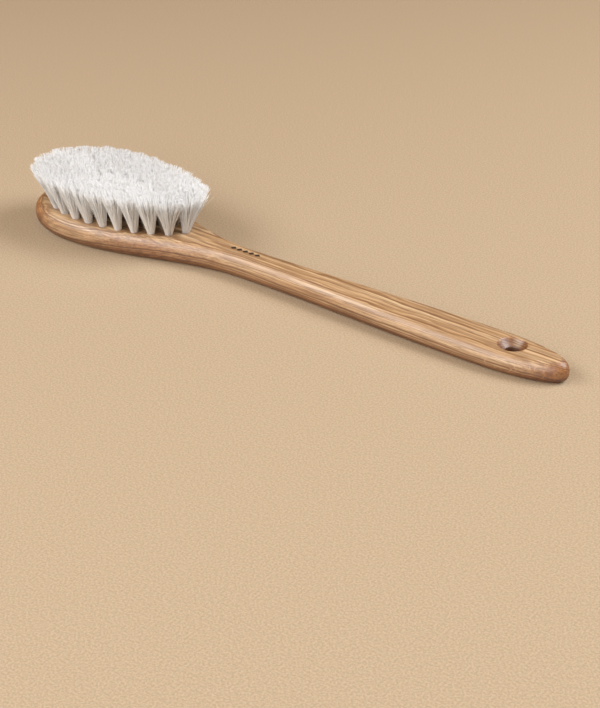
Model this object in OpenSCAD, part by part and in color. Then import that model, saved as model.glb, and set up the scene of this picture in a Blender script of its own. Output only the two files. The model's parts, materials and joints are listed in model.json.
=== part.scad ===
// Long-handled dry body brush: an oak board that is head, neck and handle in one piece,
// a thin oak lid glued under the head, and hair tufts drawn into the head with wire.
// Millimetres. The brush lies on its back: +X runs from the head to the handle's tip,
// +Z is up through the bristles, and the origin is the middle of the footprint at z = 0.

/* [Board] */
// Overall length of the board
board_l = 400; // [385:5:430]
// Width of the head at its widest
head_w = 70; // [68:1:74]
// Width of the neck at its narrowest
neck_w = 19.4; // [18:0.2:24]
// Width of the grip near the tip
grip_w = 30; // [28:0.5:34]
// Thickness of the board over the head and neck
board_t = 15.5; // [15:0.5:18]
// Thickness of the board at the handle's tip
tip_t = 12.5; // [11:0.5:14]

/* [Lid] */
// Thickness of the lid under the head
lid_t = 3.5; // [3:0.25:4]
// Distance from the head's end to the lid's straight seam across the neck
lid_l = 148; // [142:1:156]
// Depth of the pocket in the lid that clears the wires
pocket_h = 1.2; // [1:0.1:1.8]

/* [Hanging hole] */
// Diameter of the through bore
hang_d = 8; // [6:0.5:9]
// Diameter of the countersink at each face
hang_sink_d = 16; // [14:0.5:17]
// Distance from the tip to the hole's centre
hang_from_tip = 35; // [32:1:40]

/* [Tufts] */
// Height of the trimmed bristle tips above the face
bristle_h = 26.5; // [26.5:0.5:32]
// Diameter of a tuft where it leaves the face
tuft_d = 4.8; // [4:0.1:4.8]
// Diameter of the drilled hole that holds a tuft
hole_d = 5; // [5:0.1:5.4]
// Diameter of a tuft at its trimmed tips
tuft_tip_d = 11; // [9:0.2:11]
// Depth of the drilled hole, along its own axis
hole_h = 9.4; // [9.4:0.1:9.8]
// Diameter of the pilot hole that goes on through to the wires
pilot_d = 2; // [1.8:0.1:2.4]

/* [Wire] */
// Diameter of the drawing wire
wire_d = 0.5; // [0.4:0.05:0.5]

/* [Hidden] */
$fn = 48;
far = 500;                      // longer than the whole brush, for cutting blocks
past = 1;                       // how far a cutting shape goes on past a surface

// Stations along the board, measured from the head's end
head_x = 52;                    // widest point of the head
neck_x = 176;                   // narrowest point of the neck
grip_x = 342;                   // handle reaches its full width
nose_x = board_l - 48;          // rounded nose of the handle begins
thin_x = 165;                   // board starts to thin towards the tip
edge_top = 0.47;                // radius of the upper edge, as a share of the thickness
edge_low = 0.40;                // radius of the lower edge, as a share of the thickness

// Rings of tufts: half-length, half-width, share by which the ring narrows towards the neck,
// number of tufts, shift in tuft pitches, and outward lean at the sides and at the two ends
field_x = 71;                   // centre of the rings, from the head's end
outer_ring = [55, 25.6, 0.25, 23, 0, 11, 16];
middle_ring = [43.7, 16.8, 0.25, 18, 0.5, 7, 10];
inner_ring = [34.5, 7.4, 0.05, 12, 0, 1.5, 1];

// Shape of a tuft's hidden root, measured down from the face
root_r = 1.7;                   // radius of the doubled-over hairs
root_z = -7;                    // centre of the round fold
neck_z = -5.5;                  // root starts to widen
full_z = -3.5;                  // tuft has its full diameter
mouth_z = 0.8;                  // tuft starts to spread, clear of the leaning hole's edge

// The wire's way through a seat
eye_d = wire_d + 0.4;           // eye through the fold that the wire threads
eye_turn = 45;                  // turns the eye's seam away from the fold's widest circle
loop_s = (hole_d - wire_d) / 2 - 0.1; // wire's offset from the axis beside the root
leg_s = 0.5;                    // wire's offset from the axis in the pilot hole
bend = 0.35;                    // corner cut where the wire turns
shoulder_z = -hole_h + 0.2;     // wire leaves the pilot hole, just above the hole's shoulder
wide_z = shoulder_z + 1;        // wire has reached the side of the root
wire_sides = 6;
wire_z = lid_t - wire_d / 2 - 0.1; // height of the wire's runs in the lid's pocket
pocket_in = 1;                  // pocket stays this far inside the outer ring's sides
arc_step = 3;                   // degrees per step when a ring is measured

function two(n) = n < 10 ? str("0", n) : str(n);
function names(stem, ring) = [for (i = [1:ring[3]]) str(stem, two(i))];

// ---- Outline of the board ----

function ease(t) = (1 - cos(180 * max(0, min(1, t)))) / 2;
function half_w(x) = x < neck_x
    ? head_w / 2 + (neck_w - head_w) / 2 * ease((x - head_x) / (neck_x - head_x))
    : neck_w / 2 + (grip_w - neck_w) / 2 * ease((x - neck_x) / (grip_x - neck_x));
function thick(x) = board_t + (tip_t - board_t) * ease((x - thin_x) / (board_l - thin_x));

// One side of the outline from the head's end to the tip, inset by share e of the thickness:
// a quarter ellipse, two S-curves, and a quarter ellipse
function inset(x, e) = e * thick(x);
function side(e) = concat(
    [for (a = [0:7.5:82.5]) let (d = inset(0, e))
        [head_x - (head_x - d) * cos(a), (head_w / 2 - d) * sin(a)]],
    [for (i = [0:13]) let (x = head_x + (neck_x - head_x) * i / 14) [x, half_w(x) - inset(x, e)]],
    [for (i = [0:9]) let (x = neck_x + (grip_x - neck_x) * i / 10) [x, half_w(x) - inset(x, e)]],
    [for (a = [90:-9:0]) let (d = inset(nose_x, e))
        [nose_x + (board_l - nose_x - d) * cos(a), (grip_w / 2 - d) * sin(a)]]
);
// The levels of the rounded edge, from the back to the face: [inset share, height share]
low_levels = [for (a = [0:18:90]) [edge_low * (1 - sin(a)), edge_low * (1 - cos(a))]];
top_levels = [for (a = [0:15:90]) [edge_top * (1 - cos(a)), 1 - edge_top * (1 - sin(a))]];
levels = concat(low_levels, top_levels);

function loop_at(level) = let (s = side(level[0]), n = len(s)) concat(
    [for (p = s) [p[0] - board_l / 2, p[1], level[1] * thick(p[0])]],
    [for (i = [n - 2:-1:1]) [s[i][0] - board_l / 2, -s[i][1], level[1] * thick(s[i][0])]]
);

module board() {
    loops = [for (l = levels) loop_at(l)];
    n = len(loops[0]);
    half = n / 2;
    m = len(levels);
    polyhedron(
        points = [for (l = loops) each l],
        faces = concat(
            [for (k = [0:m - 2]) each [for (i = [0:n - 1])
                [k * n + i, k * n + (i + 1) % n, (k + 1) * n + (i + 1) % n, (k + 1) * n + i]]],
            [for (i = [0:half - 1]) cap(i, half, n, 0)],
            [for (i = [0:half - 1]) [for (j = [3:-1:0]) cap(i, half, n, (m - 1) * n)[j]]]
        )
    );
}
// One strip of a flat face, from side to side of the board
function cap(i, half, n, base) =
    [base + (n - i) % n, base + (n - i - 1) % n, base + i + 1, base + i];

// ---- Rings of tufts ----

function ring_at(ring, a) = [
    field_x - board_l / 2 + ring[0] * cos(a),
    ring[1] * sin(a) * (1 - ring[2] * cos(a))
];
function ring_arc(ring, a = 0, s = 0) = a > 360 ? []
    : concat([[s, a]], ring_arc(ring, a + arc_step,
        s + norm(ring_at(ring, a + arc_step) - ring_at(ring, a))));
// Centre, outward direction and lean of each tuft, at an equal pitch round the ring
function seats(ring) = let (arc = ring_arc(ring), whole = arc[len(arc) - 1][0]) [
    for (i = [0:ring[3] - 1]) let (
        a = lookup((i + ring[4]) / ring[3] * whole, arc),
        along = ring_at(ring, a + 1) - ring_at(ring, a - 1),
        lean = ring[5] + (ring[6] - ring[5]) * cos(a) * cos(a)
    ) [ring_at(ring, a), [along[1], -along[0]] / norm(along), lean]
];

module at_seat(seat) {
    translate([seat[0][0], seat[0][1], board_t])
        rotate([0, seat[2], atan2(seat[1][1], seat[1][0])]) children();
}

// ---- Sub-parts ----

// A drilled hole with its pilot hole, which goes on to the back
module tuft_holes(ring) {
    above = hole_d;
    for (seat = seats(ring)) at_seat(seat) rotate_extrude() polygon([
        [0, above], [hole_d / 2, above], [hole_d / 2, -hole_h],
        [pilot_d / 2, -hole_h], [pilot_d / 2, -board_t], [0, -board_t]
    ]);
}

// A through bore with a 45 degree countersink at each face
module hanging_hole() {
    t = thick(board_l - hang_from_tip);
    sink_h = (hang_sink_d - hang_d) / 2;
    mouth_r = hang_sink_d / 2 + past;
    translate([board_l / 2 - hang_from_tip, 0, 0]) rotate_extrude() polygon([
        [0, -past], [mouth_r, -past], [hang_d / 2, sink_h],
        [hang_d / 2, t - sink_h], [mouth_r, t + past], [0, t + past]
    ]);
}

// Block that holds the lid's share of the board
module lid_space() {
    translate([-far - board_l / 2 + lid_l, -far / 2, lid_t - far]) cube([far, far, far]);
}

module brush_body() {
    color("peru") difference() {
        board();
        lid_space();
        tuft_holes(outer_ring);
        tuft_holes(middle_ring);
        tuft_holes(inner_ring);
        hanging_hole();
    }
}

module back_cover() {
    pocket = [outer_ring[0] + pocket_in, outer_ring[1] - pocket_in, outer_ring[2]];
    color("burlywood") difference() {
        intersection() {
            board();
            lid_space();
        }
        translate([0, 0, lid_t - pocket_h]) linear_extrude(pocket_h + past)
            polygon([for (a = [0:6:354]) ring_at(pocket, a)]);
    }
}

// A bundle of hair folded double round the wire, widening to its trimmed tips
module tuft(seat) {
    reach = (bristle_h + tuft_tip_d / 2) / cos(seat[2]);
    spread = (tuft_tip_d - tuft_d) / 2 / (bristle_h - mouth_z);
    profile = concat(
        [for (a = [-90:15:0]) [root_r * cos(a), root_z + root_r * sin(a)]],
        [[root_r, neck_z], [tuft_d / 2, full_z], [tuft_d / 2, mouth_z]],
        [[tuft_d / 2 + spread * (reach - mouth_z), reach], [0, reach]]
    );
    trim = 3 * tuft_tip_d;
    color("ivory") at_seat(seat) difference() {
        rotate_extrude() polygon(profile);
        translate([0, 0, root_z]) rotate([90, eye_turn, 0])
            cylinder(d = eye_d, h = hole_d, center = true);
        rotate([0, -seat[2], 0]) translate([0, 0, bristle_h + trim / 2]) cube(trim, center = true);
    }
}

// The wire's path at one seat: along the pocket, up the pilot hole, over through the
// tuft's eye and back down. Each point is [offset along the ring, height along the axis].
function wire_steps(lean) = let (
    low = -(board_t - wire_z) / cos(lean)
) [
    [-leg_s - bend, low], [-leg_s, low + bend], [-leg_s, shoulder_z], [-loop_s, wide_z],
    [-loop_s, root_z - bend], [-loop_s + bend, root_z], [loop_s - bend, root_z],
    [loop_s, root_z - bend], [loop_s, wide_z], [leg_s, shoulder_z], [leg_s, low + bend],
    [leg_s + bend, low]
];
function wire_path(ring) = [for (seat = seats(ring)) each let (
    out = [seat[1][0], seat[1][1], 0],
    along = [-seat[1][1], seat[1][0], 0],
    axis = out * sin(seat[2]) + [0, 0, cos(seat[2])],
    flat = out * cos(seat[2]) - [0, 0, sin(seat[2])]
) [for (s = wire_steps(seat[2]))
    [[seat[0][0], seat[0][1], board_t] + along * s[0] + axis * s[1], flat]]];

function unit(v) = v / norm(v);

module drawing_wire(ring) {
    path = wire_path(ring);
    n = len(path);
    s = wire_sides;
    points = [for (i = [0:n - 1]) each let (
        d = unit(path[min(n - 1, i + 1)][0] - path[max(0, i - 1)][0]),
        u = unit(path[i][1] - d * (path[i][1] * d)),
        v = cross(d, u)
    ) [for (j = [0:s - 1]) path[i][0] + (u * cos(360 * j / s) + v * sin(360 * j / s)) * wire_d / 2]];
    color("goldenrod") polyhedron(
        points = points,
        faces = concat(
            [[for (j = [s - 1:-1:0]) j], [for (j = [0:s - 1]) (n - 1) * s + j]],
            [for (i = [0:n - 2]) each [for (j = [0:s - 1])
                [i * s + j, i * s + (j + 1) % s, (i + 1) * s + (j + 1) % s, (i + 1) * s + j]]]
        )
    );
}

brush_body();
back_cover();
drawing_wire(outer_ring);  // outer_drawing_wire
drawing_wire(middle_ring);  // middle_drawing_wire
drawing_wire(inner_ring);  // inner_drawing_wire
for (i = [1:outer_ring[3]])
    tuft(seats(outer_ring)[i - 1]);
for (i = [1:middle_ring[3]])
    tuft(seats(middle_ring)[i - 1]);
for (i = [1:inner_ring[3]])
    tuft(seats(inner_ring)[i - 1]);
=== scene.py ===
"""A long-handled dry body brush: an oak board, its glued lid and tufts of hair drawn in with wire.

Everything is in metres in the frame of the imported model: the brush lies on its back, +X runs
from the head to the handle's tip and +Z is up through the bristles.
"""

import json
import math

import bpy
import numpy as np
from mathutils import Matrix, Vector


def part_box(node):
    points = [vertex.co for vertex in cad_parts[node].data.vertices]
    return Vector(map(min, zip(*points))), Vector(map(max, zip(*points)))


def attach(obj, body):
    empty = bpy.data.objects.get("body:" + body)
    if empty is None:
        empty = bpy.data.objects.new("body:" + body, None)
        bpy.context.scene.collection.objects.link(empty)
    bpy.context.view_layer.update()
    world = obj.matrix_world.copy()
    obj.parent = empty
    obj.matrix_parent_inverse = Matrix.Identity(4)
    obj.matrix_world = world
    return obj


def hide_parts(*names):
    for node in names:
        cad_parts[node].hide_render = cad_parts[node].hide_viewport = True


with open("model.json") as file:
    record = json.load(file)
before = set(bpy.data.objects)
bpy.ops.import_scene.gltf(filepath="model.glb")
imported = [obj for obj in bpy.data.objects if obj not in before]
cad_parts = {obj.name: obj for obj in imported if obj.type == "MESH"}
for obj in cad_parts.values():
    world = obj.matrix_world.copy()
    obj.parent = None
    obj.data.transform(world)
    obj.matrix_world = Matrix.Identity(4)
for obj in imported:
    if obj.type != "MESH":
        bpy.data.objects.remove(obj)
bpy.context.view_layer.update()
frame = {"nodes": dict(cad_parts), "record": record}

MM = 0.001

# ---- Sizes, from the frame ----

BODY_LO, BODY_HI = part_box("brush_body")
LID_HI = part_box("back_cover")[1]
LENGTH = BODY_HI.x - BODY_LO.x
HEAD_W = BODY_HI.y - BODY_LO.y
BOARD_T = BODY_HI.z
TUFTS = sorted(name for name in frame["nodes"] if "_tuft_" in name)
WIRES = sorted(name for name in frame["nodes"] if name.endswith("_drawing_wire"))
TOP_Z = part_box(TUFTS[0])[1].z
HANG_HOLE = next(mount for mount in frame["record"]["mounts"] if mount["name"] == "hang_hole")
HANG_R = HANG_HOLE["dims"]["r_mm"] * MM

# The board's shape, as shares of its length and thickness
NECK_W = 0.0485 * LENGTH
GRIP_W = 0.075 * LENGTH
TIP_T = 0.8065 * BOARD_T
HEAD_AT = 0.13 * LENGTH       # widest point of the head, from the head's end
NECK_AT = 0.44 * LENGTH       # narrowest point of the neck
GRIP_AT = 0.855 * LENGTH      # the handle reaches its full width
NOSE_AT = 0.88 * LENGTH       # the rounded nose begins
THIN_AT = 0.4125 * LENGTH     # the board starts to thin
EDGE_TOP = 0.47               # radius of the upper edge, as a share of the thickness
EDGE_LOW = 0.40               # radius of the lower edge
FLAT_RIM = 0.4 * MM           # ring just inside the flat faces, which keeps their shading flat

# Holes and gaps
HOLE_R = 2.5 * MM             # a tuft's hole, which leans with the tuft
HOLE_H = 9.4 * MM
PILOT_R = 1.0 * MM
GLUE_GAP = 0.03 * MM          # on each side of the glue line
RIM_SOFT = 0.5 * MM           # the hanging hole's softened rims

# How finely the board is drawn
HEAD_POINTS, MIDDLE_POINTS, NOSE_POINTS = 40, 110, 32
LOW_RINGS, TOP_RINGS = 12, 15
HOLE_SIDES, HANG_SIDES = 28, 72


# ---- Mesh helpers ----

def make_object(name, verts, faces):
    mesh = bpy.data.meshes.new(name)
    mesh.from_pydata([tuple(v) for v in verts], [], faces)
    mesh.update()
    obj = bpy.data.objects.new(name, mesh)
    bpy.context.scene.collection.objects.link(obj)
    return obj


def lathe(profile, segments):
    """A closed solid turned about Z. The profile runs from the top down, off the axis."""
    verts = []
    for r, z in profile:
        for k in range(segments):
            a = 2 * math.pi * k / segments
            verts.append((r * math.cos(a), r * math.sin(a), z))
    faces = [tuple(range(segments)),
             tuple(reversed(range((len(profile) - 1) * segments, len(profile) * segments)))]
    for i in range(len(profile) - 1):
        for k in range(segments):
            a, b = i * segments + k, i * segments + (k + 1) % segments
            faces.append((a, a + segments, b + segments, b))
    return verts, faces


def join(parts):
    """One list of vertices and faces from several (matrix, (verts, faces)) parts."""
    verts, faces = [], []
    for matrix, (part_verts, part_faces) in parts:
        base = len(verts)
        verts += [matrix @ Vector(v) for v in part_verts]
        faces += [tuple(base + i for i in f) for f in part_faces]
    return verts, faces


def cut(obj, cutter, operation="DIFFERENCE"):
    """Applies a boolean to the object's mesh and removes the cutter."""
    mod = obj.modifiers.new("cut", "BOOLEAN")
    mod.operation = operation
    mod.solver = "EXACT"
    mod.object = cutter
    graph = bpy.context.evaluated_depsgraph_get()
    mesh = bpy.data.meshes.new_from_object(obj.evaluated_get(graph))
    obj.modifiers.clear()
    old = obj.data
    obj.data = mesh
    bpy.data.meshes.remove(old)
    bpy.data.objects.remove(cutter)


def shade(obj, sharp_deg=35):
    """Smooth shading that stays crisp at edges sharper than the angle."""
    obj.data.shade_smooth()
    obj.data.set_sharp_from_angle(angle=math.radians(sharp_deg))


# ---- The board ----

def ease(t):
    """A smooth step from 0 to 1."""
    return (1 - np.cos(np.pi * np.clip(t, 0, 1))) / 2


def half_width(x):
    """Half the board's width behind the head's round end, at a length from that end."""
    head = HEAD_W / 2 + (NECK_W - HEAD_W) / 2 * ease((x - HEAD_AT) / (NECK_AT - HEAD_AT))
    grip = NECK_W / 2 + (GRIP_W - NECK_W) / 2 * ease((x - NECK_AT) / (GRIP_AT - NECK_AT))
    return np.where(x < NECK_AT, head, grip)


def thickness(x):
    """The board's thickness, at a length from the head's end."""
    return BOARD_T + (TIP_T - BOARD_T) * ease((x - THIN_AT) / (LENGTH - THIN_AT))


def side(edge, extra=0.0):
    """One side of the outline, head end to tip, inset by a share of the thickness and a length."""
    inset = edge * BOARD_T + extra
    a = np.linspace(0, np.pi / 2, HEAD_POINTS, endpoint=False)
    head = np.stack([HEAD_AT - (HEAD_AT - inset) * np.cos(a), (HEAD_W / 2 - inset) * np.sin(a)], 1)
    x = np.linspace(HEAD_AT, GRIP_AT, MIDDLE_POINTS, endpoint=False)
    middle = np.stack([x, half_width(x) - edge * thickness(x) - extra], 1)
    inset = edge * thickness(np.array(NOSE_AT)) + extra
    a = np.linspace(np.pi / 2, 0, NOSE_POINTS)
    nose = np.stack([NOSE_AT + (LENGTH - NOSE_AT - inset) * np.cos(a),
                     (GRIP_W / 2 - inset) * np.sin(a)], 1)
    return np.concatenate([head, middle, nose])


def board_mesh(name):
    """The whole board, with rounded edges, as rings stacked from the back to the face."""
    # Inset and height round each edge, as shares of the thickness
    low = [(EDGE_LOW * (1 - math.sin(a)), EDGE_LOW * (1 - math.cos(a)))
           for a in np.linspace(0, np.pi / 2, LOW_RINGS)]
    top = [(EDGE_TOP * (1 - math.cos(a)), 1 - EDGE_TOP * (1 - math.sin(a)))
           for a in np.linspace(0, np.pi / 2, TOP_RINGS)]
    levels = [(EDGE_LOW, 0.0, FLAT_RIM)] + [(e, h, 0.0) for e, h in low + top]
    levels.append((EDGE_TOP, 1.0, FLAT_RIM))
    verts = []
    for edge, height, extra in levels:
        s = side(edge, extra)
        z = height * thickness(s[:, 0])
        x = s[:, 0] - LENGTH / 2
        left = np.stack([x, s[:, 1], z], 1)
        right = np.stack([x, -s[:, 1], z], 1)[-2:0:-1]
        verts += [left, right]
    n = len(left) + len(right)
    faces = []
    for k in range(len(levels) - 1):
        for i in range(n):
            j = (i + 1) % n
            faces.append((k * n + j, k * n + i, (k + 1) * n + i, (k + 1) * n + j))
    # The flat faces, as strips across the board
    for base, up in ((0, False), ((len(levels) - 1) * n, True)):
        for i in range(n // 2):
            strip = [base + i, base + (n - i) % n, base + (n - i - 1) % n, base + i + 1]
            if strip[0] == strip[1]:
                strip = strip[1:]
            if strip[-1] == strip[-2]:
                strip = strip[:-1]
            faces.append(tuple(strip if up else reversed(strip)))
    return make_object(name, np.concatenate(verts), faces)


def block(x_end, z_end):
    """A block that holds everything on the head's side of x_end and below z_end."""
    far = LENGTH
    verts = [(x, y, z) for z in (-far, z_end) for x, y in
             ((x_end - far, -far), (x_end, -far), (x_end, far), (x_end - far, far))]
    faces = [(0, 3, 2, 1), (4, 5, 6, 7), (0, 1, 5, 4), (1, 2, 6, 5), (2, 3, 7, 6), (3, 0, 4, 7)]
    return make_object("block", verts, faces)


def hang_cutter():
    """The countersunk hanging hole, with softened rims."""
    centre = Vector(HANG_HOLE["pos_m"])
    half = centre.z
    sink = HANG_R
    soft = RIM_SOFT
    # Down from above the face, over the rim, along the countersink and over its end to the bore
    upper = [(HANG_R + sink + 3 * soft, half + 2 * soft)]
    for t in np.linspace(0, 1, 5):
        r = HANG_R + sink + soft * (1 - t) ** 2 - soft * 0.3 * t
        upper.append((r, half - soft * 0.1 - soft * t))
    for t in np.linspace(0, 1, 4):
        upper.append((HANG_R + soft * (1 - t) ** 2, half - sink + soft * (1 - t)))
    lower = [(r, -z) for r, z in reversed(upper)]
    verts, faces = lathe(upper + lower, HANG_SIDES)
    return make_object("hang_cutter", [centre + Vector(v) for v in verts], faces)


def make_board():
    """The board, drilled for the tufts and for hanging, and the lid that closes its back."""
    board = board_mesh("oak_body")
    cut(board, block(LID_HI.x + GLUE_GAP, LID_HI.z + GLUE_GAP))
    drill = lathe([(HOLE_R, 2 * HOLE_R), (HOLE_R, -HOLE_H),
                   (PILOT_R, -HOLE_H), (PILOT_R, -BOARD_T)], HOLE_SIDES)
    holes = []
    for face, axis, flat, along in SEATS.values():
        turn = Matrix((flat, along, axis)).transposed().to_4x4()
        holes.append((Matrix.Translation(face) @ turn, drill))
    cut(board, make_object("drill", *join(holes)))
    cut(board, hang_cutter())
    shade(board)

    cover = board_mesh("oak_lid")
    cut(cover, block(LID_HI.x - GLUE_GAP, LID_HI.z - GLUE_GAP), "INTERSECT")
    shade(cover)
    return board, cover


# ---- Where each tuft stands ----

ROOT_R = 1.7 * MM             # the rounded root of a CAD tuft
LEVEL = 0.01 * MM             # points this close to the top belong to the trimmed tips


def tuft_seat(name):
    """(face, axis, flat, along): where the tuft's axis meets the face, its direction, and the two
    directions square to it, from the CAD solid."""
    co = np.array([v.co for v in frame["nodes"][name].data.vertices])
    top = co[co[:, 2] > TOP_Z - LEVEL]
    low = co[co[:, 2].argmin()]
    tips = Vector((top.min(0) + top.max(0)) / 2)
    root = Vector((low[0], low[1], low[2] + ROOT_R))
    axis = (tips - root).normalized()
    out = Vector((axis.x, axis.y, 0)).normalized()
    along = Vector((-out.y, out.x, 0))
    flat = along.cross(axis)
    face = root + axis * ((BOARD_T - root.z) / axis.z)
    return face, axis, flat, along


def tips_centre(seat):
    """Where the tuft's axis meets the trimmed top."""
    face, axis = seat[:2]
    return face + axis * ((TOP_Z - face.z) / axis.z)


SEATS = {name: tuft_seat(name) for name in TUFTS}


# ---- Hair ----

HAIRS = 230                   # doubled-over hairs in a tuft, each with two tips
SPARE = 40                    # points drawn on top, so that half a disc holds enough
HAIR_R = 0.11 * MM
TAPER = 0.9                   # a tip's radius, as a share of the hair's
BASE_R = 2.4 * MM             # radius of the bundle at the face
FREE_R = 7.4 * MM             # how far the tips fan out where no tuft stands in the way
ACROSS, ALONG = 1.25, 1.45    # shares of half the way to the next tuft, across and along the ring
IN_THE_WAY = 0.75             # cosine of the widest angle at which a tuft is in the way
STEPS = (1.0, 0.7, 0.36, 0.0)  # shares of the free length where a hair has a ring
FLARE = 1.45                  # above 1, a hair turns outwards late on its way up
BOW = 0.3 * MM                # how much a hair bends sideways

LOCKS = 16                    # strands that a tuft's hairs gather into
LOCK_SPREAD = 1.04            # the strands' circle, as a share of the bundle
PULL = (0.2, 0.6)             # how far a tip moves to its strand
JITTER = 0.07                 # unevenness of strands and tips, as a share of the bundle
FOOT_JITTER = 0.03            # the same where the hairs leave the hole
STRAYS, STRAY_OFF = 0.08, 0.25  # share of hairs that leave their strand, and how far

DOME = 1.0 * MM               # how far the trimmed top drops to a tuft's edge
DOME_END = 1.2                # the drop grows no more past this share of the bundle
HAIR_TRIM = (1.4, 0.3)        # gamma law, in mm, of how short a hair falls
LOCK_TRIM = (1.2, 0.3)        # the same for a whole strand

FOLD_H = 7.0 * MM             # the fold's centre, below the face
FOLD_R = 1.65 * MM            # the folds fill a round root of this radius
FOLD_IN, FOLD_OUT = 0.35 * MM, 1.2 * MM  # radius of the inner fold, and what the outer ones add
WAIST_H = 5.6 * MM            # depth below the face where the legs draw in above the fold
WAIST_R = 0.72 * BASE_R


def sunflower(n, rng):
    """n points spread evenly over a disc of radius 1, turned at random."""
    k = np.arange(n)
    radius = np.sqrt((k + 0.5) / n)
    angle = k * math.pi * (3 - math.sqrt(5)) + rng.uniform(0, 2 * math.pi)
    return np.stack([radius * np.cos(angle), radius * np.sin(angle)], 1)


def room(name):
    """How far a tuft's tips fan out: outwards, inwards, and both ways along its ring."""
    here = tips_centre(SEATS[name])
    flat, along = SEATS[name][2:]
    gaps = [tips_centre(seat) - here for other, seat in SEATS.items() if other != name]
    reach = []
    for way, share in ((flat, ACROSS), (-flat, ACROSS), (along, ALONG), (-along, ALONG)):
        ahead = [gap.length / 2 * share for gap in gaps if gap.normalized().dot(way) > IN_THE_WAY]
        reach.append(min(ahead, default=FREE_R))
    return reach


def one_end(rng, base, locks, seat, sign, reach):
    """Points of one leg of every hair, from the tip down to the face: (hairs, rings, 3)."""
    face, axis, flat, along = (np.array(v) for v in seat)
    n = len(base)
    b = base * [sign, 1] + rng.normal(0, FOOT_JITTER, (n, 2))
    lock = ((b[:, None] - locks[None]) ** 2).sum(2).argmin(1)
    pull = rng.uniform(*PULL, (n, 1))
    tip = b * (1 - pull) + locks[lock] * pull + rng.normal(0, JITTER, (n, 2))
    stray = rng.random(n) < STRAYS
    tip[stray] += rng.normal(0, STRAY_OFF, (stray.sum(), 2))
    edge = np.clip(np.linalg.norm(tip, axis=1), 0, DOME_END)
    trim = rng.gamma(*HAIR_TRIM, n) * MM + DOME * edge ** 3
    trim += rng.gamma(*LOCK_TRIM, len(locks))[lock] * MM
    bow = rng.normal(0, BOW, (n, 2))
    out, back, left, right = reach
    tip_off = tip * np.stack([np.where(tip[:, 0] > 0, out, back),
                              np.where(tip[:, 1] > 0, left, right)], 1)
    h_tip = (TOP_Z - trim - face[2] - flat[2] * tip_off[:, 0]) / axis[2]
    points = []
    for s in STEPS:
        g = s ** FLARE
        off = b * BASE_R * (1 - g) + tip_off * g + bow * math.sin(math.pi * s)
        points.append(face + np.outer(h_tip * s, axis) + np.outer(off[:, 0], flat)
                      + np.outer(off[:, 1], along))
    return np.stack(points, 1)


def fold(base, seat):
    """The hidden U round the wire, between the two legs: (hairs, rings, 3)."""
    face, axis, flat, along = (np.array(v) for v in seat)
    side_on = np.abs(base[:, 0])
    rho = FOLD_IN + FOLD_OUT * side_on
    across = base[:, 1] * np.sqrt(np.maximum(FOLD_R ** 2 - rho ** 2, 0))
    rows = [(WAIST_R * side_on, WAIST_R * base[:, 1], -WAIST_H), (rho, across, -FOLD_H),
            (0 * rho, across, -FOLD_H - rho), (-rho, across, -FOLD_H),
            (-WAIST_R * side_on, WAIST_R * base[:, 1], -WAIST_H)]
    points = []
    for u, v, h in rows:
        h = np.broadcast_to(h, u.shape)
        points.append(face + np.outer(h, axis) + np.outer(u, flat) + np.outer(v, along))
    return np.stack(points, 1)


def tube_mesh(name, paths, radii, reference):
    """Closed three-sided tubes along every path, as one mesh."""
    n, rings, _ = paths.shape
    d = np.gradient(paths, axis=1)
    d /= np.linalg.norm(d, axis=2, keepdims=True)
    u = reference - d * (d @ reference)[..., None]
    u /= np.linalg.norm(u, axis=2, keepdims=True)
    v = np.cross(d, u)
    corners = []
    for k in range(3):
        a = 2 * math.pi * k / 3
        corners.append(paths + (u * math.cos(a) + v * math.sin(a)) * radii[:, None])
    verts = np.stack(corners, 2).reshape(-1, 3)

    quads = []
    for i in range(rings - 1):
        for k in range(3):
            j = (k + 1) % 3
            quads.append((i * 3 + k, i * 3 + j, i * 3 + 3 + j, i * 3 + 3 + k))
    last = (rings - 1) * 3
    caps = [(2, 1, 0), (last, last + 1, last + 2)]
    starts = (np.arange(n) * rings * 3)[:, None, None]
    faces = []
    for pattern in (quads, caps):
        pattern = np.array(pattern)
        faces += [tuple(f) for f in (pattern + starts).reshape(-1, pattern.shape[1]).tolist()]
    obj = make_object(name, verts, faces)
    obj.data.shade_smooth()
    return obj


def make_tuft(name, seed):
    """One tuft of doubled-over hair in its hole."""
    rng = np.random.default_rng(seed)
    seat = SEATS[name]
    reach = room(name)
    disc = sunflower(2 * HAIRS + SPARE, rng)
    base = disc[disc[:, 0] > 0][:HAIRS]
    locks = sunflower(LOCKS, rng) * LOCK_SPREAD + rng.normal(0, JITTER, (LOCKS, 2))
    first = one_end(rng, base, locks, seat, 1, reach)
    second = one_end(rng, base, locks, seat, -1, reach)
    paths = np.concatenate([first, fold(base, seat), second[:, ::-1]], 1)
    radii = np.full(paths.shape[1], HAIR_R)
    radii[[0, -1]] = HAIR_R * TAPER
    return tube_mesh(name.replace("_tuft", "_hair"), paths, radii, np.array(seat[3]))


# ---- Materials ----
# Lengths in the materials are millimetres.

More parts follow.
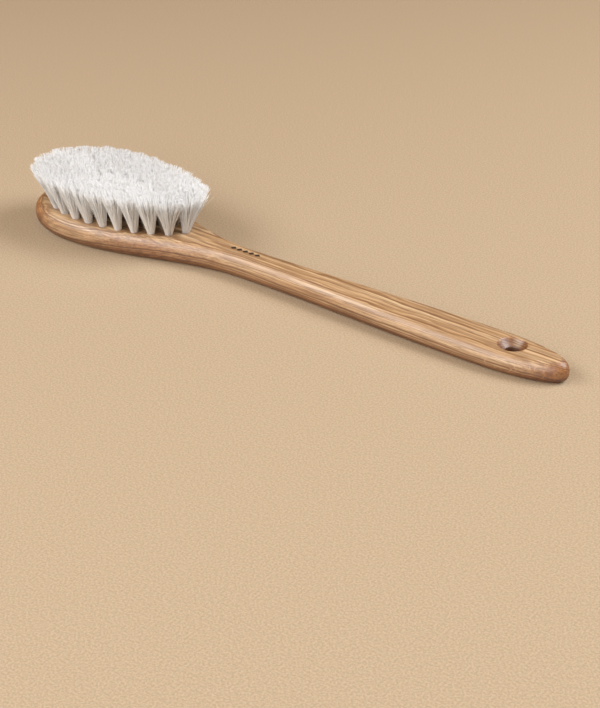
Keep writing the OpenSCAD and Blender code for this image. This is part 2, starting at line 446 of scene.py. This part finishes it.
class Nodes:
    """One material's node tree. Inputs are values or sockets, and what comes back is a socket."""

    def __init__(self, name):
        self.material = bpy.data.materials.new(name)
        self.material.use_nodes = True
        self.tree = self.material.node_tree
        self.tree.nodes.clear()
        out = self.tree.nodes.new("ShaderNodeOutputMaterial")
        self.shader = self.tree.nodes.new("ShaderNodeBsdfPrincipled")
        self.tree.links.new(self.shader.outputs["BSDF"], out.inputs["Surface"])

    def feed(self, made, inputs):
        """Fills a node's inputs, each named (with _ for a space) or numbered (i0, i1, ...)."""
        for key, value in inputs.items():
            socket = made.inputs[int(key[1:]) if key[1:].isdigit() else key.replace("_", " ")]
            if isinstance(value, bpy.types.NodeSocket):
                self.tree.links.new(value, socket)
            elif socket.type == "RGBA":
                socket.default_value = (*value, 1.0)
            else:
                socket.default_value = value

    def surface(self, **inputs):
        """Fills the shader's own inputs."""
        self.feed(self.shader, inputs)

    def add(self, kind, out=0, props=None, **inputs):
        """Adds a node and returns one of its outputs, or all of them if out is None."""
        made = self.tree.nodes.new("ShaderNode" + kind)
        for key, value in (props or {}).items():
            setattr(made, key, value)
        self.feed(made, inputs)
        return made.outputs if out is None else made.outputs[out]

    def math(self, operation, *values):
        inputs = {f"i{k}": value for k, value in enumerate(values)}
        return self.add("Math", props={"operation": operation}, **inputs)

    def plus(self, a, b):
        return self.math("ADD", a, b)

    def minus(self, a, b):
        return self.math("SUBTRACT", a, b)

    def times(self, a, b):
        return self.math("MULTIPLY", a, b)

    def over(self, a, b):
        return self.math("DIVIDE", a, b)

    def times_plus(self, a, b, c):
        """a times b, plus c."""
        return self.math("MULTIPLY_ADD", a, b, c)

    def size_of(self, value):
        return self.math("ABSOLUTE", value)

    def hypot(self, a, b):
        return self.math("SQRT", self.plus(self.times(a, a), self.times(b, b)))

    def rise(self, value, low, high):
        """0 below low and 1 above high, with a smooth step between."""
        return self.add("MapRange", props={"interpolation_type": "SMOOTHSTEP"}, Value=value,
                        From_Min=low, From_Max=high, To_Min=0.0, To_Max=1.0)

    def fall(self, value, low, high):
        """1 below low and 0 above high."""
        return self.minus(1.0, self.rise(value, low, high))

    def mix(self, factor, a, b, blend="MIX"):
        """Mixes two colours."""
        return self.add("Mix", out=2, props={"data_type": "RGBA", "blend_type": blend},
                        i0=factor, i6=a, i7=b)

    def tinted(self, color, tint, factor):
        """The colour, multiplied by a tint where the factor is 1."""
        return self.mix(factor, color, self.mix(1.0, color, tint, "MULTIPLY"))

    def split(self, vector):
        """The vector's X, Y and Z."""
        return self.add("SeparateXYZ", out=None, i0=vector)

    def position(self):
        """The point on the surface, in the row's frame."""
        return self.add("VectorMath", props={"operation": "SCALE"},
                        i0=self.add("TexCoord", out="Object"), Scale=1 / MM)

    def stretched(self, vector, *factors):
        return self.add("VectorMath", props={"operation": "MULTIPLY"}, i0=vector, i1=factors)

    def noise(self, vector, detail=2.0, roughness=0.5):
        return self.add("TexNoise", Vector=vector, Scale=1.0, Detail=detail, Roughness=roughness)


OAK_LIGHT = (0.89, 0.65, 0.385)
OAK_MID = (0.68, 0.435, 0.22)
OAK_RING = (0.37, 0.165, 0.05)      # strongest just inside each ring, then fading outwards
OAK_EARLY = (0.20, 0.075, 0.016)    # the porous first part of a ring
OAK_FIBRE = (0.16, 0.058, 0.012)
OAK_PORE = (0.14, 0.053, 0.014)
OAK_RAY = (0.76, 0.54, 0.33)
HOLE_SHADE = (0.12, 0.042, 0.014)    # painted shade in the hanging hole
# painted shade for the lower edge, where the board turns under towards the floor
LOW_EDGE_SHADE = (0.40, 0.25, 0.14)
END_GRAIN_TINT = (0.61, 0.39, 0.18)
CHARRED = (0.014, 0.008, 0.006)

PITH_Y, PITH_Z = -20.0, -62.0
PITH_SLOPE = 0.055            # the pith runs a little askew to the handle
RING_PITCH = 1.2


def growth_rings(g, p, x, y, z):
    """How many rings the point is from the pith, bent by slow noise and unevenly wide."""
    aside = g.minus(g.times_plus(x, PITH_SLOPE, y), PITH_Y)
    above = g.minus(z, PITH_Z)
    slow = g.noise(g.stretched(p, 0.009, 0.03, 0.03))
    fine = g.noise(g.stretched(p, 0.04, 0.22, 0.22))
    bend = g.times_plus(slow, 2.6, g.times(fine, 1.7))
    turns = g.over(g.plus(g.hypot(aside, above), bend), RING_PITCH)
    uneven = g.noise(g.add("CombineXYZ", X=g.times(turns, 0.45)), 1.0)
    return g.times_plus(uneven, 2.4, turns)


def ray_flecks(g, p, x, y, z, normal):
    """Rays: thin upright plates, pale where they come out on the sides near the tip."""
    sway = g.noise(g.stretched(p, 0.1, 0.3, 0.3), 1.0)
    bent = g.stretched(g.add("CombineXYZ", X=g.times_plus(sway, 6.0, x), Y=y, Z=z),
                       0.21, 0.1, 0.17)
    cell = g.add("TexVoronoi", out=None, Vector=bent, Scale=1.0)
    chance = g.add("SeparateColor", i0=cell["Color"])
    off_centre = g.split(g.add("VectorMath", props={"operation": "SUBTRACT"}, i0=bent,
                               i1=cell["Position"]))
    thin = g.fall(g.size_of(off_centre[0]), 0.04, 0.12)
    short = g.fall(cell["Distance"], 0.3, 0.6)
    tip = LENGTH / 2 / MM
    near_tip = g.rise(x, tip - 60.0, tip - 30.0)
    ray = g.times(g.times(thin, short), g.times(near_tip, g.rise(chance, 0.1, 0.5)))
    upright = g.fall(g.size_of(normal[2]), 0.25, 0.6)
    return g.times(ray, upright)


def hole_shade(g, x, y):
    """Painted shade in the hanging hole, darker in its bore than in its countersink."""
    bore_r = HANG_R / MM
    from_hole = g.hypot(g.minus(x, HANG_HOLE["pos_m"][0] / MM), y)
    sunk = g.fall(from_hole, 1.8 * bore_r, 1.98 * bore_r)
    bored = g.fall(from_hole, 1.02 * bore_r, 1.3 * bore_r)
    return g.times_plus(bored, 0.5, g.times(sunk, 0.4))


def burned_mark(g, x, y, z):
    """A plain row of small lozenges, burned into the face of the neck."""
    centre, count, pitch, half_l, half_w = -25.0, 5, 4.7, 2.45, 2.0
    u = g.over(g.minus(x, centre - count / 2 * pitch), pitch)
    inside = g.times(g.math("GREATER_THAN", u, 0.0), g.math("LESS_THAN", u, float(count)))
    off_centre = g.minus(g.math("FRACT", u), 0.5)
    shape = g.plus(g.over(g.size_of(off_centre), half_l / pitch), g.over(g.size_of(y), half_w))
    lozenge = g.fall(shape, 0.85, 1.05)
    on_face = g.math("GREATER_THAN", z, 0.8 * BOARD_T / MM)
    return g.times(g.times(lozenge, inside), on_face)


def wood_material(name, tone=1.0, mark=False):
    """Oiled oak: growth rings about a pith below the board, pores, rays and a satin surface."""
    g = Nodes(name)
    p = g.position()
    x, y, z = g.split(p)
    normal = g.split(g.add("NewGeometry", out="Normal"))

    turns = growth_rings(g, p, x, y, z)
    phase = g.math("FRACT", turns)
    early = g.times(g.rise(phase, 0.0, 0.25), g.fall(phase, 0.25, 0.85))
    fading = g.times(g.minus(1.0, phase), g.times(g.rise(phase, 0.0, 0.16), 0.45))
    year = g.noise(g.add("CombineXYZ", X=turns, Y=7.3), 1.0)

    # Streaks, fibres and pores, drawn out along the grain
    streak = g.noise(g.stretched(p, 0.006, 0.3, 0.3))
    fibre = g.noise(g.stretched(p, 0.02, 0.85, 0.85), 3.0, 0.62)
    pore_noise = g.noise(g.stretched(p, 0.14, 3.0, 3.0), 1.0)
    pores = g.times(g.rise(pore_noise, 0.53, 0.64), g.times_plus(early, 0.9, 0.1))

    color = g.mix(g.rise(streak, 0.36, 0.6), OAK_LIGHT, OAK_MID)
    color = g.mix(fading, color, OAK_RING)
    strength = g.times_plus(g.rise(year, 0.35, 0.6), 0.55, 0.2)
    color = g.mix(g.times(early, strength), color, OAK_EARLY)
    color = g.mix(g.rise(fibre, 0.38, 0.58), g.mix(0.5, color, OAK_FIBRE), color)
    color = g.mix(g.times(pores, 0.5), color, OAK_PORE)
    color = g.mix(g.times(ray_flecks(g, p, x, y, z, normal), 0.75), color, OAK_RAY)

    # Painted shade darkens the lower edge, where the board turns under towards the floor, and end
    # grain drinks more oil
    down = g.times(normal[2], -1.0)
    low_edge_shade = g.times(g.rise(down, -0.35, 0.45), g.fall(down, 0.85, 1.0))
    color = g.tinted(color, LOW_EDGE_SHADE, low_edge_shade)
    color = g.tinted(color, END_GRAIN_TINT, g.rise(g.size_of(normal[0]), 0.06, 0.45))
    # Painted shade in the hanging hole, deepest in the bore
    color = g.mix(hole_shade(g, x, y), color, HOLE_SHADE)
    if mark:
        color = g.mix(burned_mark(g, x, y, z), color, CHARRED)
    if tone != 1.0:
        color = g.mix(1.0, color, (tone, tone, tone), "MULTIPLY")

    rough = g.times_plus(pores, 0.12, g.times_plus(early, 0.05, 0.45))
    height = g.times_plus(fibre, 0.35, g.times_plus(pores, -1.0, g.times(early, -0.4)))
    bump = g.add("Bump", Strength=0.1, Distance=0.12 * MM, Height=height)
    g.surface(Base_Color=color, Roughness=rough, IOR=1.65, Specular_IOR_Level=1.0, Normal=bump)
    return g.material


HAIR_LOW = (0.99, 0.975, 0.945)
HAIR_HIGH = (0.965, 0.98, 0.98)
HAIR_DULL = (0.74, 0.69, 0.63)      # the dullest hairs, as a tint
HAIR_DEPTH_SHADE = (0.40, 0.30, 0.22)    # painted shade deep inside the brush
WHITE = (1.0, 1.0, 1.0)


def hair_material():
    """Bleached hair: pale at the tips, with dim warm painted shade in the depth, each hair its own
    shade.
    """
    g = Nodes("hair")
    p = g.position()
    x, y, z = g.split(p)
    face = BOARD_T / MM
    color = g.mix(g.rise(z, face - 2.0, face + 17.0), HAIR_LOW, HAIR_HIGH)
    own = g.add("NewGeometry", out="Random Per Island")
    color = g.mix(1.0, color, g.mix(g.rise(own, 0.0, 0.22), HAIR_DULL, WHITE), "MULTIPLY")

    # Painted shade: inside the outer ring, low down, where the hair is never in the open
    ring = np.array([SEATS[name][0] for name in TUFTS if name.startswith("outer")]) / MM
    middle, half = (ring.max(0) + ring.min(0)) / 2, (ring.max(0) - ring.min(0)) / 2
    from_middle = g.hypot(g.over(g.minus(x, middle[0]), half[0]), g.over(y, half[1]))
    hidden = g.times(g.fall(from_middle, 0.8, 0.92), g.fall(z, face + 8.0, face + 20.0))
    color = g.mix(hidden, color, HAIR_DEPTH_SHADE)

    streak = g.noise(g.stretched(p, 3.0, 3.0, 0.4), 1.0)
    g.surface(Base_Color=color, Roughness=g.times_plus(streak, 0.15, 0.38), Sheen_Weight=0.6)
    return g.material


def wire_material():
    """Drawn brass wire with fine drawing lines and a little tarnish."""
    g = Nodes("drawn_brass")
    p = g.position()
    lines = g.noise(g.stretched(p, 3.0, 3.0, 9.0))
    tarnish = g.noise(g.stretched(p, 0.3, 0.3, 0.3), 3.0)
    color = g.mix(g.rise(tarnish, 0.4, 0.7), (0.83, 0.62, 0.28), (0.55, 0.36, 0.14))
    g.surface(Base_Color=color, Metallic=1.0, Roughness=g.times_plus(lines, 0.2, 0.22))
    return g.material


def floor_material():
    """Plain paper with a faint grain."""
    g = Nodes("floor_paper")
    grain = g.noise(g.stretched(g.position(), 0.95, 0.95, 0.95), 2.0, 0.6)
    color = g.mix(g.rise(grain, 0.3, 0.7), (0.475, 0.369, 0.243), (0.62, 0.485, 0.322))
    g.surface(Base_Color=color, Roughness=0.85)
    return g.material


def paint(obj, material):
    obj.data.materials.clear()
    obj.data.materials.append(material)


# ---- Stage: floor, light and camera ----

FLOOR_HALF = 4.0
FLOOR_Z = -0.05 * MM          # just clear of the board's back

# Each softbox: its direction from the brush, distance, width and height, and watts
SOFTBOXES = {"left_softbox": ((-0.40, -0.63, 0.64), 1.7, (1.7, 0.7), 17.0),
             "right_softbox": ((0.55, 0.45, 0.70), 1.9, (1.2, 1.2), 29.0),
             "front_fill": ((0.30, -0.9, 0.32), 2.2, (1.8, 1.8), 24.0)}
SOFTBOX_COLOR = (0.98, 1.0, 1.03)
ROOM_COLOR = (1.0, 0.56, 0.24)  # light returned by the warm room
ROOM_STRENGTH = 0.24

VIEW_AZIMUTH = 38.1           # degrees; 0 looks along +Y
VIEW_ELEVATION = 28.0
VIEW_DISTANCE = 2.09 * LENGTH
VIEW_AIM = Vector((0.165 * LENGTH, -0.1545 * LENGTH, 0))
LENS = 76.3
SENSOR = 36.0


def make_floor():
    corners = [(-FLOOR_HALF, -FLOOR_HALF), (FLOOR_HALF, -FLOOR_HALF),
               (FLOOR_HALF, FLOOR_HALF), (-FLOOR_HALF, FLOOR_HALF)]
    floor = make_object("floor", [(x, y, FLOOR_Z) for x, y in corners], [(0, 1, 2, 3)])
    paint(floor, floor_material())


def make_lights():
    for name, (direction, distance, size, energy) in SOFTBOXES.items():
        data = bpy.data.lights.new(name, "AREA")
        data.shape = "RECTANGLE"
        data.size, data.size_y = size
        data.energy = energy
        data.color = SOFTBOX_COLOR
        light = bpy.data.objects.new(name, data)
        place = Vector(direction).normalized()
        light.location = place * distance
        light.rotation_euler = place.to_track_quat("Z", "Y").to_euler()
        bpy.context.scene.collection.objects.link(light)
    world = bpy.data.worlds.new("studio")
    world.use_nodes = True
    background = world.node_tree.nodes["Background"]
    background.inputs["Color"].default_value = (*ROOM_COLOR, 1.0)
    background.inputs["Strength"].default_value = ROOM_STRENGTH
    bpy.context.scene.world = world
    bpy.context.scene.view_settings.view_transform = "Standard"


def make_camera():
    a, e = math.radians(VIEW_AZIMUTH), math.radians(VIEW_ELEVATION)
    back = Vector((math.sin(a) * math.cos(e), -math.cos(a) * math.cos(e), math.sin(e)))
    data = bpy.data.cameras.new("camera")
    data.lens = LENS
    data.sensor_width = SENSOR
    data.clip_start = 0.01
    camera = bpy.data.objects.new("camera", data)
    camera.location = VIEW_AIM + back * VIEW_DISTANCE
    camera.rotation_euler = back.to_track_quat("Z", "Y").to_euler()
    bpy.context.scene.collection.objects.link(camera)
    bpy.context.scene.camera = camera


# ---- Build ----

FIRST_SEED = 100

make_camera()
make_lights()
make_floor()

body, lid = make_board()
paint(body, wood_material("oiled_oak", mark=True))
paint(lid, wood_material("oiled_oak_lid", tone=0.97))
for piece, cad, slot in ((body, "brush_body", "oak"), (lid, "back_cover", "oak_lid")):
    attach(piece, "root")
    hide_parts(cad)

hair = hair_material()
for seed, name in enumerate(TUFTS, FIRST_SEED):
    tuft = make_tuft(name, seed)
    paint(tuft, hair)
    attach(tuft, "root")
    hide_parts(name)

brass = wire_material()
for name in WIRES:
    paint(frame["nodes"][name], brass)
